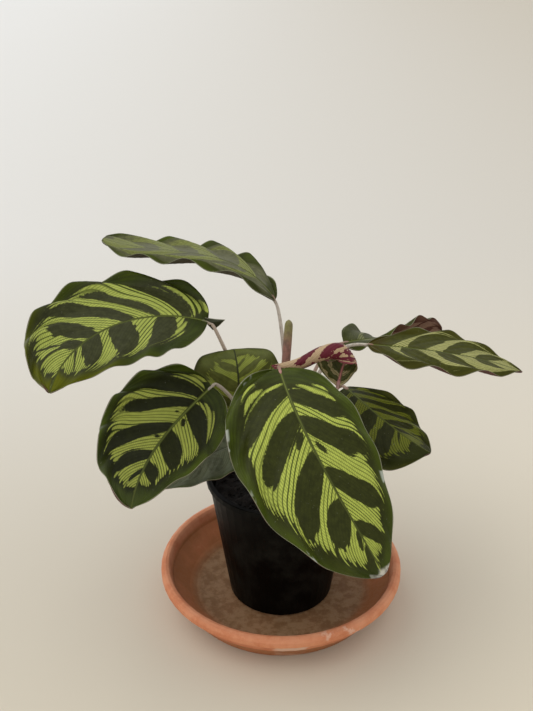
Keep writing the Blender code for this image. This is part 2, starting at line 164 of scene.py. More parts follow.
# Soil and its crumbs
SOIL_SEED = 11
SOIL_TOP_RADIUS = 46.9
SOIL_FLOOR_RADIUS = 35.4
SOIL_FLOOR = 10.8
SOIL_RINGS = 60
SOIL_SIDES = 128
SOIL_MIDDLE = 0.02  # share of the radius
SOIL_CALM = 2.0  # width by the wall where ripples fade
RIPPLE_COUNT = 160
RIPPLE_SPREAD = 0.35  # radians in a mm
RIPPLE_HEIGHT = 0.085
RIPPLE_LIMIT = 1.6
CRUMB_COUNT = 420
CRUMB_AREA = 0.92  # share of the surface
CRUMB_SIZES = (0.6, 2.0)
CRUMB_LIFT = 0.2
CRUMB_DENTS = 0.18
CRUMB_STRETCH = np.array([1, 0.8, 0.6])
OCTAHEDRON = np.array([(1, 0, 0), (0, 1, 0), (-1, 0, 0), (0, -1, 0), (0, 0, 1), (0, 0, -1)])


class Wave(NamedTuple):
    """Rise and fall of one margin: height in mm, number of waves and where the first one starts."""
    height: float
    count: float
    start: float

    def lift(self, vein):
        return self.height * np.sin(math.tau * (self.count * vein + self.start))


class Leaf(NamedTuple):
    """One leaf, with values that mean the same as in the part's source."""
    base: tuple
    heading: tuple
    pitch: tuple
    length: float
    half_width: float
    roll: tuple
    fold: float
    lean: float
    right: Wave
    left: Wave
    foot: tuple
    rise: float
    reach: float
    fullness: tuple = (0.52, 0.66)


LEAVES = {
    "front": Leaf(
        base=(-2, -8, 189), heading=(-80, -31), pitch=(-12, -38, -54), length=153, half_width=43,
        roll=(-5, -28), fold=4, lean=0.17, right=Wave(5.5, 4.0, 0.42), left=Wave(2.2, 4.2, 0.18),
        foot=(0, -10), rise=60, reach=6, fullness=(0.48, 0.65)),
    "upper_left": Leaf(
        base=(-50, 29, 206), heading=(178, 268), pitch=(17, -5, -18), length=141, half_width=46,
        roll=(10, 20), fold=-1, lean=0.15, right=Wave(4.4, 5.3, 0.30), left=Wave(1.8, 4.2, 0.48),
        foot=(-12, 40), rise=20, reach=2, fullness=(0.43, 0.82)),
    "middle_left": Leaf(
        base=(-47, 3, 170), heading=(233, 272), pitch=(-13, -3, 0), length=135, half_width=37,
        roll=(37, 9), fold=17, lean=0.09, right=Wave(4.0, 4.7, 0.33), left=Wave(1.8, 3.6, 0.35),
        foot=(-6, -4), rise=40, reach=7, fullness=(0.48, 0.68)),
    "low_left": Leaf(
        base=(-22, 0, 130), heading=(215, 225), pitch=(5, -5, -15), length=76, half_width=26,
        roll=(10, 0), fold=5, lean=0.0, right=Wave(1.0, 4.5, 0.3), left=Wave(1.0, 4.0, 0.6),
        foot=(-12, -4), rise=22, reach=10),
    "top": Leaf(
        base=(-4, 68, 205), heading=(157, 175), pitch=(58, 4, 20), length=138, half_width=38,
        roll=(-12, -10), fold=-2, lean=0.18, right=Wave(4.2, 4.5, 0.34), left=Wave(3.0, 4.0, 0.50),
        foot=(6, 10), rise=60, reach=8, fullness=(0.55, 0.36)),
    "back": Leaf(
        base=(-29, 12, 140), heading=(98, 104), pitch=(84, 76, 5), length=53, half_width=30,
        roll=(0, 0), fold=-4, lean=0.0, right=Wave(2.4, 3.0, 0.40), left=Wave(2.4, 3.0, 0.40),
        foot=(-6, 12), rise=24, reach=10, fullness=(0.55, 0.30)),
    "right": Leaf(
        base=(61, 50, 179), heading=(-18, -2), pitch=(3, -5, -22), length=110, half_width=37,
        roll=(3, 5), fold=1, lean=-0.05, right=Wave(3.0, 3.6, 0.76), left=Wave(2.0, 3.9, 0.36),
        foot=(12, 2), rise=60, reach=35, fullness=(0.75, 0.90)),
    "right_behind": Leaf(
        base=(48, 98, 157), heading=(6, 20), pitch=(8, -3, -8), length=81, half_width=32,
        roll=(-8, 92), fold=4, lean=-0.2, right=Wave(2.6, 4.6, 0.62), left=Wave(2.5, 3.5, 0.6),
        foot=(10, 14), rise=50, reach=20, fullness=(0.42, 0.60)),
    "lower_right": Leaf(
        base=(44, 25, 158), heading=(-70, -39), pitch=(8, -9, -11), length=88, half_width=38,
        roll=(-14, 1), fold=-22, lean=0.12, right=Wave(4.0, 3.0, 0.97), left=Wave(2.2, 3.0, 0.64),
        foot=(8, -6), rise=40, reach=15),
}


class Marks(NamedTuple):
    """Markings of one half of a blade, in shares along the veins and out from the midrib."""
    start: float  # where the light zone begins
    limit: tuple  # how far out the light zone reaches, at LIMIT_PLACES along the blade
    ovals: tuple  # (place at the midrib, place at the outer end, reach, half width)
    spots: tuple = ()  # small ovals beside the midrib: (place, distance, half width, half length)
    curl: float = 0.0  # how strongly the veins run back towards the stalk in the outer part


LIMIT_PLACES = (0.0, 0.2, 0.4, 0.5, 0.6, 0.7, 0.8, 0.88)

FRONT_RIGHT = Marks(
    0.088, (0.72, 0.85, 0.8, 0.74, 0.68, 0.52, 0.35, 0.14), curl=0.6,
    ovals=((0.131, 0.093, 0.88, 0.036), (0.275, 0.222, 0.78, 0.058), (0.482, 0.422, 0.76, 0.076),
           (0.692, 0.602, 0.5, 0.068), (0.89, 0.87, 0.3, 0.045)),
    spots=((0.34, 0.11, 0.018, 0.065), (0.797, 0.08, 0.028, 0.09)))
FRONT_LEFT = Marks(
    0.112, (0.68, 0.84, 0.8, 0.74, 0.64, 0.5, 0.33, 0.1), curl=0.8,
    ovals=((0.161, 0.099, 0.88, 0.04), (0.315, 0.24, 0.82, 0.06), (0.56, 0.445, 0.78, 0.062),
           (0.785, 0.655, 0.56, 0.04)),
    spots=((0.392, 0.13, 0.022, 0.09),))
UPPER_RIGHT = Marks(
    0.06, (0.72, 0.86, 0.86, 0.78, 0.66, 0.48, 0.28, 0.05), curl=0.8,
    ovals=((0.097, 0.097, 0.96, 0.03), (0.24, 0.205, 0.88, 0.036), (0.385, 0.3, 0.88, 0.04),
           (0.582, 0.43, 0.66, 0.046), (0.675, 0.62, 0.28, 0.038), (0.64, 0.655, 0.55, 0.008),
           (0.785, 0.78, 0.4, 0.006)))
UPPER_LEFT = Marks(
    0.105, (0.72, 0.79, 0.74, 0.68, 0.58, 0.42, 0.15, -0.1),
    ovals=((0.205, 0.08, 0.82, 0.048), (0.435, 0.245, 0.76, 0.076), (0.612, 0.498, 0.6, 0.064),
           (0.71, 0.65, 0.6, 0.006)))
MIDDLE_RIGHT = Marks(
    0.052, (0.72, 0.86, 0.8, 0.74, 0.6, 0.42, 0.22, -0.05), curl=0.8,
    ovals=((0.084, 0.084, 0.96, 0.024), (0.158, 0.225, 0.86, 0.04), (0.36, 0.428, 0.88, 0.052),
           (0.585, 0.56, 0.58, 0.054), (0.715, 0.745, 0.24, 0.022)),
    spots=((0.233, 0.12, 0.014, 0.05), (0.436, 0.09, 0.012, 0.05)))
MIDDLE_LEFT = Marks(
    0.108, (0.72, 0.77, 0.65, 0.58, 0.53, 0.38, 0.05, -0.2),
    ovals=((0.185, 0.13, 0.78, 0.054), (0.422, 0.392, 0.66, 0.086), (0.662, 0.615, 0.46, 0.054)),
    spots=((0.262, 0.12, 0.016, 0.06),))
SIDE_RIGHT = Marks(
    0.08, (0.86, 0.84, 0.84, 0.82, 0.8, 0.74, 0.6, 0.4),
    ovals=((0.105, 0.045, 0.92, 0.038), (0.265, 0.15, 0.92, 0.072), (0.48, 0.335, 0.9, 0.07),
           (0.72, 0.58, 0.8, 0.066)))
SIDE_LEFT = Marks(
    0.1, (0.86, 0.84, 0.84, 0.8, 0.72, 0.6, 0.45, 0.25),
    ovals=((0.11, 0.035, 0.92, 0.052), (0.315, 0.17, 0.92, 0.074), (0.53, 0.38, 0.84, 0.066),
           (0.73, 0.62, 0.6, 0.056)))
YOUNG_SIDE = Marks(
    0.02, (0.95, 0.9, 0.8, 0.75, 0.7, 0.6, 0.45, 0.25),
    ovals=((0.07, 0.045, 0.95, 0.022), (0.165, 0.12, 0.95, 0.034), (0.3, 0.235, 0.9, 0.05),
           (0.48, 0.4, 0.8, 0.06), (0.7, 0.62, 0.6, 0.06)))

MARKS = {
    # leaf: markings of its right half, and of its left half
    "front": (FRONT_RIGHT, FRONT_LEFT),
    "upper_left": (UPPER_RIGHT, UPPER_LEFT),
    "middle_left": (MIDDLE_RIGHT, MIDDLE_LEFT),
    "low_left": (FRONT_LEFT, UPPER_LEFT),
    "top": (SIDE_LEFT, SIDE_RIGHT),
    "back": (MIDDLE_RIGHT, MIDDLE_LEFT),
    "right": (SIDE_RIGHT, SIDE_LEFT),
    "right_behind": (SIDE_LEFT, SIDE_RIGHT),
    "lower_right": (UPPER_LEFT, UPPER_RIGHT),
    "young": (YOUNG_SIDE, YOUNG_SIDE),
}


# Shape of a blade

def grid(rows, columns):
    return np.meshgrid(rows, columns, indexing="ij")


def between(start, end, share):
    return start + (end - start) * share


def growth(value, start, length):
    """0 up to start, and from there evenly up to 1 over a length."""
    return np.clip((value - start) / length, 0, 1)


def unit(vectors):
    return vectors / np.linalg.norm(vectors, axis=-1, keepdims=True)


def directions(leaf, share):
    """Unit directions of the midrib at shares of its length."""
    heading = np.radians(between(*leaf.heading, share))
    base, middle, tip = leaf.pitch
    slope = base * (1 - share) * (1 - 2 * share) + middle * 4 * share * (1 - share)
    pitch = np.radians(slope + tip * share * (2 * share - 1))
    level = np.cos(pitch)
    return np.stack([level * np.cos(heading), level * np.sin(heading), np.sin(pitch)], -1)


def midrib(leaf):
    shares = (np.arange(MIDRIB_STEPS) + 0.5) / MIDRIB_STEPS
    steps = directions(leaf, shares) * (leaf.length / MIDRIB_STEPS)
    return np.vstack([[leaf.base], np.array(leaf.base) + np.cumsum(steps, 0)])


def blade_frames(leaf, share):
    """Midrib points, the directions to the right margin and the blade's own up directions."""
    point = along_list(midrib(leaf), share)
    along = directions(leaf, share)
    side = unit(np.cross(along, (0.0, 0.0, 1.0)))
    up = np.cross(side, along)
    roll = np.radians(between(*leaf.roll, share))[..., None]
    return point, side * np.cos(roll) + up * np.sin(roll), up * np.cos(roll) - side * np.sin(roll)


def outline(fullness, share):
    """Half width of a blade at shares of its length, as a share of the widest."""
    base, tip = fullness
    widest = base / (base + tip)
    return (share / widest) ** base * ((1 - share) / (1 - widest)) ** tip


def half_reach(leaf, share, across):
    """Distance from the midrib in mm, measured along the blade."""
    far = np.abs(across)
    turn = np.where(across > 0, 1.0, -1.0)
    width = leaf.half_width * outline(leaf.fullness, share) * (1 + turn * leaf.lean)
    least = between(BLADE_END_WIDTH, BLADE_TIP_WIDTH, share) / 2
    return far * np.maximum(width, least)


def blade_points(leaf, share, across):
    """Points of the solid's upper face; across is -1 at the left margin and 1 at the right one."""
    point, side, up = blade_frames(leaf, share)
    far = np.abs(across)
    turn = np.where(across > 0, 1.0, -1.0)
    reach = half_reach(leaf, share, across)
    vein = share - WAVE_SWEEP_NEAR * far - WAVE_SWEEP_FAR * far ** WAVE_SWEEP_POWER
    swell = far ** WAVE_SPREAD * np.maximum(0.0, np.sin(np.pi * share)) ** WAVE_TAPER
    wave = np.where(across > 0, leaf.right.lift(vein), leaf.left.lift(vein))
    height = reach * math.sin(math.radians(leaf.fold)) + swell * wave
    out = turn * reach * math.cos(math.radians(leaf.fold))
    return point + side * out[..., None] + up * height[..., None]


def vein_place(share, far):
    """Where the vein through a point leaves the midrib, as a share of the blade's length."""
    sweep = VEIN_SWEEP * (1 - np.exp(-(share / VEIN_SWEEP_GROWTH) ** VEIN_SWEEP_BEND))
    return share - sweep * far - VEIN_HOOK * share * far ** VEIN_HOOK_POWER


def rib_bands(reach, share):
    """A distance from the midrib in mm, told in widths of the rib's coloured band."""
    return reach / between(*RIB_BANDS, share)


# Markings

def oval(place, far, start, end, reach, half):
    """Positive inside a tilted oval that grows out from the midrib."""
    along = far / reach
    across = (place - start - (end - start) * along) / half
    along = (along - OVAL_MIDDLE) / OVAL_HALF_LENGTH
    return half * (1 - (np.abs(across) ** OVAL_POWER + np.abs(along) ** OVAL_POWER) ** (1 / OVAL_POWER))


def dark_field(marks, place, far):
    """Positive inside the dark ovals of one half of a blade."""
    result = np.full_like(place, -1.0)
    for start, end, reach, half in marks.ovals:
        result = np.maximum(result, oval(place, far, start, end, reach, half))
        beside = np.abs(place - start - (end - start) * far / reach)
        tail = np.minimum(TAIL_HALF - beside, TAIL_SLOPE * (far - TAIL_START * reach))
        result = np.maximum(result, tail)
    for middle, distance, half, length in marks.spots:
        size = np.hypot((place - middle) / half, (far - distance) / length)
        result = np.maximum(result, half * (1 - size))
    return result


def light_field(marks, place, far):
    """Positive in the light zone between the midrib and the green margin, in shares of the half width."""
    limit = np.interp(place, LIMIT_PLACES, marks.limit)
    begin = (place - marks.start + LIGHT_SLANT * far) * LIGHT_BEGIN_SLOPE
    return np.minimum(limit - far, begin)


def mark_fields(name, share, across, reach, inset):
    """The values that a blade's material reads at each grid point; inset is in mm from the margin."""
    far = np.abs(across)
    right, left = MARKS[name]
    is_right = across > 0
    curl = np.where(is_right, right.curl, left.curl) * growth(share, CURL_START, CURL_GROWTH)
    place = vein_place(share, far) + curl * np.maximum(far - CURL_FAR, 0) ** 2
    return {
        "share": share,
        "reach": rib_bands(reach, share),
        "inset": inset,
        "far": far,
        "vein": place,
        "side": np.where(is_right, 1.0, 0.0),
        "dark": np.where(is_right, dark_field(right, place, far), dark_field(left, place, far)),
        "light": np.where(is_right, light_field(right, place, far), light_field(left, place, far)),
    }


# Curves

def along_list(values, share):
    """A value or a point read from an even list that runs from share 0 to share 1."""
    values = np.array(values, float)
    at = np.linspace(0, 1, len(values))
    if values.ndim == 1:
        return np.interp(share, at, values)
    return np.stack([np.interp(share, at, values[:, k]) for k in range(values.shape[1])], -1)


def through(points, share):
    """Points of the smooth curve that passes through all the given points."""
    ends = np.array(points, float)
    ends = np.vstack([ends[0] * 2 - ends[1], ends, ends[-1] * 2 - ends[-2]])
    position = np.minimum(share, 1 - 1e-9) * (len(points) - 1)
    index = position.astype(int)
    t = (position - index)[..., None]
    a, b, c, d = (ends[index + k] for k in range(4))
    bend = 2 * a - 5 * b + 4 * c - d
    twist = 3 * b - a - 3 * c + d
    return 0.5 * (2 * b + (c - a) * t + bend * t ** 2 + twist * t ** 3)


def bezier(a, b, c, d, share):
    share = share[:, None]
    rest = 1 - share
    return a * rest ** 3 + b * (3 * rest ** 2 * share) + c * (3 * rest * share ** 2) + d * share ** 3


# Meshes

def smooth_mesh(name, points, faces, fields):
    """A smooth mesh from points in mm, with its fields for the material, one value a point."""
    mesh = bpy.data.meshes.new(name)
    mesh.from_pydata((np.asarray(points) * MM).tolist(), [], faces)
    for key, values in fields.items():
        layer = mesh.attributes.new(key, "FLOAT", "POINT")
        layer.data.foreach_set("value", np.asarray(values, np.float32))
    mesh.shade_smooth()
    mesh.update()
    return mesh


def shown(name, data):
    result = bpy.data.objects.new(name, data)
    bpy.context.scene.collection.objects.link(result)
    return result


def piece(name, mesh, material, slot, *replaced):
    """A new piece on the part's only body, which stands for the CAD nodes named."""
    result = shown(name, mesh)
    mesh.materials.append(material)
    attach(result, "root")
    if replaced:
        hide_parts(*replaced)


def ring_faces(index):
    """Faces between rings of points, from a grid of their numbers, a row for each ring."""
    after = np.roll(index, -1, axis=1)
    return np.stack([index[:-1], after[:-1], after[1:], index[1:]], -1).reshape(-1, 4).tolist()


def sheet_mesh(name, upper, lower, fields):
    """A thin closed sheet between two grids of points in mm, with the fields of each."""
    rows, columns = upper.shape[:2]
    count = rows * columns
    index = np.arange(count).reshape(rows, columns)
    a, b, d, e = index[:-1, :-1], index[:-1, 1:], index[1:, :-1], index[1:, 1:]
    top = np.stack([a, b, e, d], -1).reshape(-1, 4)
    bottom = np.stack([a, d, e, b], -1).reshape(-1, 4) + count
    edge = np.concatenate([index[0, :-1], index[:-1, -1], index[-1, :0:-1], index[:0:-1, 0]])
    after = np.roll(edge, -1)
    rim = np.stack([edge, edge + count, after + count, after], -1)
    points = np.concatenate([upper.reshape(-1, 3), lower.reshape(-1, 3)])
    doubled = {key: np.concatenate([value.ravel(), value.ravel()]) for key, value in fields.items()}
    doubled["under"] = np.repeat([0.0, 1.0], count)
    return smooth_mesh(name, points, np.concatenate([top, bottom, rim]).tolist(), doubled)


def grid_normals(points):
    """Normals of a grid with rows along the blade and columns from left to right."""
    return unit(np.cross(np.gradient(points, axis=1), np.gradient(points, axis=0)))


def stem_mesh(name, points, radii, sides=STEM_SIDES, section=1.0):
    """A closed stem through points in mm. Section is the shape of its rings, as shares of their radii."""
    along = unit(np.gradient(points, axis=0))
    side = np.zeros_like(points)
    side[0] = unit(np.cross(along[0], STEM_START_SIDE))
    for k in range(1, len(points)):
        side[k] = unit(side[k - 1] - along[k] * np.dot(side[k - 1], along[k]))
    other = np.cross(along, side)
    angle = np.arange(sides) * math.tau / sides
    rings = radii[:, None] * np.ones(sides) * section
    ring = side[:, None] * np.cos(angle)[:, None] + other[:, None] * np.sin(angle)[:, None]
    body = points[:, None] + ring * rings[..., None]
    index = np.arange(len(points) * sides).reshape(len(points), sides)
    after = np.roll(index, -1, axis=1)
    faces = ring_faces(index)
    low, high = index.size, index.size + 1
    faces += [(low, int(after[0, k]), int(index[0, k])) for k in range(sides)]
    faces += [(high, int(index[-1, k]), int(after[-1, k])) for k in range(sides)]
    ends = np.array([points[0], points[-1] + along[-1] * radii[-1] * STEM_CAP])
    step = np.linalg.norm(np.diff(points, axis=0), axis=1)
    share = np.concatenate([[0], np.cumsum(step)]) / step.sum()
    fields = {"share": np.concatenate([np.repeat(share, sides), [0, 1]])}
    return smooth_mesh(name, np.concatenate([body.reshape(-1, 3), ends]), faces, fields)


# Materials

class Nodes:
    """Short words for building a material's nodes."""

    def __init__(self, name):
        self.material = bpy.data.materials.new(name)
        self.material.use_nodes = True
        self.tree = self.material.node_tree
        self.shader = self.tree.nodes["Principled BSDF"]

    def put(self, value, socket):
        if isinstance(value, bpy.types.NodeSocket):
            self.tree.links.new(value, socket)
        else:
            socket.default_value = value

    def node(self, kind, output, inputs, **settings):
        node = self.tree.nodes.new("ShaderNode" + kind)
        for key, value in settings.items():
            setattr(node, key, value)
        for key, value in inputs.items():
            self.put(value, node.inputs[key])
        return node.outputs[output]

    def math(self, operation, a, b=0.0):
        return self.node("Math", 0, {0: a, 1: b}, operation=operation)

    def add(self, a, b):
        return self.math("ADD", a, b)

    def times(self, a, b):
        return self.math("MULTIPLY", a, b)

    def swing(self, value, middle, amount):
        """How far a value is from its middle, times an amount."""
        return self.times(self.math("SUBTRACT", value, middle), amount)

    def zigzag(self, value):
        """0 halfway between two whole numbers, and 1 at each of them."""
        return self.math("ABSOLUTE", self.math("SUBTRACT", self.times(self.math("FRACT", value), 2.0), 1.0))

    def ramp(self, value, low, high, to_low=0.0, to_high=1.0):
        """A smooth step of value between low and high."""
        inputs = {"Value": value, "From Min": low, "From Max": high, "To Min": to_low, "To Max": to_high}
        return self.node("MapRange", "Result", inputs, interpolation_type="SMOOTHSTEP")

    def fall(self, value, low, high):
        return self.ramp(value, low, high, 1.0, 0.0)

    def mix(self, share, a, b):
        """Colour a where share is 0, and colour b where it is 1."""
        a, b = ((*value, 1.0) if isinstance(value, tuple) else value for value in (a, b))
        # a Mix node's sockets have the same names for numbers and colours, so they go by their places
        return self.node("Mix", 2, {0: share, 6: a, 7: b}, data_type="RGBA")

    def field(self, name):
        return self.node("Attribute", "Fac", {}, attribute_name=name)

    def place(self):
        """The point's own coordinates in metres."""
        return self.node("TexCoord", "Object", {})

    def axes(self):
        split = self.tree.nodes.new("ShaderNodeSeparateXYZ")
        self.put(self.place(), split.inputs[0])
        return split.outputs

    def noise(self, scale, detail=3.0, roughness=0.55):
        """Noise about 0.5, with scale in patches to a metre."""
        inputs = {"Vector": self.place(), "Scale": scale, "Detail": detail, "Roughness": roughness}
        return self.node("TexNoise", "Fac", inputs)

    def random(self, value):
        """A fixed random number for each whole number."""
        return self.node("TexWhiteNoise", "Value", {"W": value}, noise_dimensions="1D")

    def bump(self, height, strength, distance):
        inputs = {"Height": height, "Strength": strength, "Distance": distance}
        self.put(self.node("Bump", "Normal", inputs), self.shader.inputs["Normal"])

    def finish(self, colour, roughness, specular=0.5):
        """Give the shader its colour and gloss, and hand over the material."""
        self.put(colour, self.shader.inputs["Base Color"])
        self.put(roughness, self.shader.inputs["Roughness"])
        self.put(specular, self.shader.inputs["Specular IOR Level"])
        return self.material


def tint(colour, factor):
    return tuple(factor * value for value in colour)


class Tones(NamedTuple):
    """Colours of one blade, and how strongly it shines."""
    light: tuple = (0.41, 0.47, 0.085)
    dark: tuple = (0.026, 0.03, 0.005)
    margin: tuple = (0.055, 0.074, 0.009)
    edge: tuple = (0.066, 0.094, 0.006)
    under_light: tuple = (0.3, 0.2, 0.13)
    under_dark: tuple = (0.085, 0.022, 0.028)
    under_margin: tuple = (0.12, 0.055, 0.045)
    rib: tuple = (0.066, 0.078, 0.016)
    gloss: float = 0.16
    dry_tip: bool = False
    painted_edge_glints: bool = False  # pale flecks along the margin, which are painted glints of light
    blotch: float = 0.0  # how far patches push the edges of the dark ovals
    under_start: float = 0.0  # share of the length where the light marks of the underside begin
    foot: tuple = ()  # colour near the stalk, where it differs
    tip: tuple = ()  # colour of the margin round the tip, where it differs


# Apart from the front leaf's, these colours hold painted light and shade as well as each leaf's own colours:
# a leaf is darker, greyer or lighter as the light falls on it.
TONES = {
    "front": Tones(dry_tip=True, gloss=0.1, painted_edge_glints=True),
    "upper_left": Tones(
        light=(0.36, 0.41, 0.085), dark=(0.034, 0.037, 0.014), margin=(0.036, 0.05, 0.008),
        edge=(0.055, 0.074, 0.004), gloss=0.07, tip=(0.115, 0.125, 0.002)),
    "middle_left": Tones(
        light=(0.3, 0.33, 0.06), dark=(0.012, 0.014, 0.003), margin=(0.04, 0.054, 0.008), gloss=0.08),
    # painted sheen: the pale grey-green of a blade seen at a glancing angle
    "low_left": Tones(
        light=(0.2, 0.23, 0.135), dark=(0.125, 0.145, 0.085), margin=(0.16, 0.19, 0.115),
        rib=(0.15, 0.17, 0.11), gloss=0.08),
    "top": Tones(
        light=(0.23, 0.25, 0.075), dark=(0.095, 0.098, 0.05), margin=(0.04, 0.05, 0.008),
        under_light=(0.14, 0.12, 0.085), under_dark=(0.08, 0.06, 0.045),
        under_margin=(0.09, 0.08, 0.055), gloss=0.03),
    "ear": Tones(
        dark=(0.034, 0.036, 0.018), margin=(0.04, 0.044, 0.022), edge=(0.034, 0.036, 0.018)),
    "back": Tones(
        light=(0.24, 0.28, 0.04), dark=(0.07, 0.078, 0.014), margin=(0.12, 0.14, 0.03),
        edge=(0.06, 0.065, 0.016), rib=(0.03, 0.034, 0.01)),
    "right": Tones(
        light=(0.38, 0.38, 0.14), dark=(0.042, 0.044, 0.007), margin=(0.046, 0.044, 0.004),
        edge=(0.07, 0.07, 0.012), gloss=0.03, foot=(0.05, 0.038, 0.003)),
    "right_behind": Tones(
        light=(0.17, 0.18, 0.075), dark=(0.05, 0.055, 0.02), margin=(0.05, 0.055, 0.014),
        under_light=(0.2, 0.12, 0.085), under_dark=(0.07, 0.028, 0.02),
        under_margin=(0.09, 0.045, 0.028), gloss=0.03),
    # painted shade: the whole blade darker, as it lies in shade
    "lower_right": Tones(
        light=(0.12, 0.135, 0.014), dark=(0.018, 0.02, 0.004), margin=(0.034, 0.04, 0.005),
        edge=(0.07, 0.07, 0.012), gloss=0.06),
    # painted light: the tan of the upper face lighter against the shade in its trough
    "young": Tones(
        light=(0.4, 0.32, 0.16), dark=(0.06, 0.062, 0.012), margin=(0.105, 0.11, 0.018),
        edge=(0.26, 0.25, 0.03), under_light=(0.52, 0.38, 0.22), under_dark=(0.115, 0.012, 0.022),
        under_margin=(0.22, 0.05, 0.06), rib=(0.3, 0.12, 0.1), under_start=0.2, blotch=0.16),
}
DUSTY_SPOT = (0.45, 0.45, 0.38)
CUT_EDGE = (0.36, 0.36, 0.25)
# colour of the painted glints of light along the margin
EDGE_GLINT_PAINT = (0.40, 0.43, 0.36)
DRY_TIP = (0.55, 0.52, 0.44)

SIDE_SHIFT = 77.0  # keeps the random numbers of both halves apart
SECOND_DRAW = 500.0  # and those of one strip
LIGHT_RAGGED = 0.11  # how unevenly the light zone ends from strip to strip
LIGHT_NOTCH = -0.05  # how much earlier it ends on a vein
LIGHT_BLUR = 0.05
LIGHT_EDGE = (-0.012, 0.018)  # from outside to inside
DARK_RAGGED = 0.014  # the same for the dark ovals
DARK_BLUR = 0.012
DARK_EDGE = (-0.002, 0.003)
BLOTCH_LEVEL = 0.46  # noise that leaves the ovals' edges in place
LINE_EDGE = (0.60, 0.80)  # of a vein's dark line in its strip
LINE_STRENGTH = (0.55, 1.0)
LINE_WIDENING = (0.14, 0.24, 0.0)  # near the light zone's end: from where, and how much
CROSS_COUNT = 34.0  # from the midrib to the margin
CROSS_SHIFT = 3.0  # from strip to strip
CROSS_EDGE = (0.50, 0.85)
CROSS_STRENGTH = 0.48
NET_OUTSIDE = 0.35  # strength outside the light zone
DARK_ZONE = (-0.16, 0.02)  # from the green margin to the dark ground
UNDER_ZONE = (-0.12, 0.03)
RIB_EDGE = (0.55, 1.15)  # in rib bands
CUT_EDGE_WIDTH = (0.10, 0.50)  # in mm from the margin
# in mm from the margin, for the painted glints
EDGE_GLINT_WIDTH = (0.8, 2.6)


def vein_strip(n):
    """Two random numbers of the strip between two side veins, and 0 in its middle to 1 on its veins."""
    strip = n.add(n.times(n.field("vein"), float(VEIN_COUNT)), n.times(n.field("side"), SIDE_SHIFT))
    number = n.math("FLOOR", strip)
    return n.random(number), n.random(n.add(number, SECOND_DRAW)), n.zigzag(strip)


def light_share(n, tones, chance, other_chance, in_strip):
    """1 in the light zone, and 0 in its dark ovals and outside it, with uneven edges."""
    ragged = n.swing(chance, 0.5, LIGHT_RAGGED)
    notched = n.times(n.math("POWER", in_strip, 2.0), LIGHT_NOTCH)
    blur = n.swing(n.noise(900.0, 2.0), 0.5, LIGHT_BLUR)
    light_edge = n.add(n.add(n.field("light"), ragged), n.add(notched, blur))
    scallop = n.swing(other_chance, 0.5, DARK_RAGGED)
    soft = n.swing(n.noise(500.0, 2.0), 0.5, DARK_BLUR)
    dark_edge = n.add(n.field("dark"), n.add(scallop, soft))
    if tones.blotch:
        dark_edge = n.add(dark_edge, n.swing(n.noise(170.0, 2.0), BLOTCH_LEVEL, tones.blotch))
    return n.times(n.ramp(light_edge, *LIGHT_EDGE), n.fall(dark_edge, *DARK_EDGE))


def vein_net(n, chance, other_chance, in_strip, in_light):
    """Dark side veins, wider where the light zone ends, and fine cross lines between them."""
    wider = n.ramp(n.field("light"), 0.0, *LINE_WIDENING)
    line = n.ramp(n.add(in_strip, wider), *LINE_EDGE)
    line = n.times(line, n.ramp(other_chance, 0.1, 0.9, *LINE_STRENGTH))
    cell = n.add(n.times(n.field("far"), CROSS_COUNT), n.times(chance, CROSS_SHIFT))
    cross = n.times(n.ramp(n.zigzag(cell), *CROSS_EDGE), CROSS_STRENGTH)
    return n.times(n.math("MAXIMUM", line, cross), n.ramp(in_light, 0.0, 1.0, NET_OUTSIDE, 1.0))


def marked_skin(n, tones, in_light, net, mottle):
    """The upper face with its markings."""
    share = n.field("share")
    light = n.mix(n.ramp(mottle, 0.35, 0.7), tones.light, tint(tones.light, 1.18))
    dark = n.mix(n.ramp(mottle, 0.3, 0.7), tones.dark, tint(tones.dark, 1.5))
    patches = n.ramp(n.noise(45.0, 2.0), 0.35, 0.65)
    margin = n.mix(patches, tint(tones.margin, 0.72), tint(tones.margin, 1.15))
    margin = n.mix(n.ramp(n.field("far"), 0.80, 1.0), margin, n.mix(patches, tones.margin, tones.edge))
    if tones.tip:
        margin = n.mix(n.ramp(share, 0.50, 0.90), margin, tones.tip)
    ground = n.mix(n.ramp(n.field("light"), *DARK_ZONE), margin, dark)
    line = n.mix(in_light, tint(tones.dark, 0.72), tint(tones.margin, 0.9))
    skin = n.mix(net, n.mix(in_light, ground, light), line)
    skin = n.mix(n.ramp(n.noise(650.0, 2.0, 0.7), 0.70, 0.78, 0.0, 0.30), skin, DUSTY_SPOT)
    if tones.foot:
        skin = n.mix(n.ramp(share, 0.03, 0.17, 0.75, 0.0), skin, tones.foot)
    return skin


def ribbed_skin(n, tones, skin, on_rib):
    """The marked upper face with its rib, its pale edge and its painted glints along the margin."""
    share, inset = n.field("share"), n.field("inset")
    rib = n.mix(n.ramp(share, 0.05, 0.55), tint(tones.rib, 2.2), tint(tones.rib, 1.2))
    rib = n.mix(n.ramp(n.field("reach"), 0.0, RIB_EDGE[0]), rib, tint(tones.rib, 0.8))
    skin = n.mix(on_rib, skin, rib)
    skin = n.mix(n.ramp(inset, *CUT_EDGE_WIDTH, 0.60, 0.0), skin, CUT_EDGE)
    if tones.painted_edge_glints:
        # painted highlights: pale flecks along the margin that stand for glints of light
        flecks = n.times(n.ramp(n.noise(75.0, 2.0), 0.60, 0.66), n.fall(inset, *EDGE_GLINT_WIDTH))
        skin = n.mix(flecks, skin, EDGE_GLINT_PAINT)
    if tones.dry_tip:
        dry = n.add(share, n.swing(n.noise(200.0), 0.5, 0.05))
        skin = n.mix(n.ramp(dry, 0.970, 0.992), skin, DRY_TIP)
    return skin


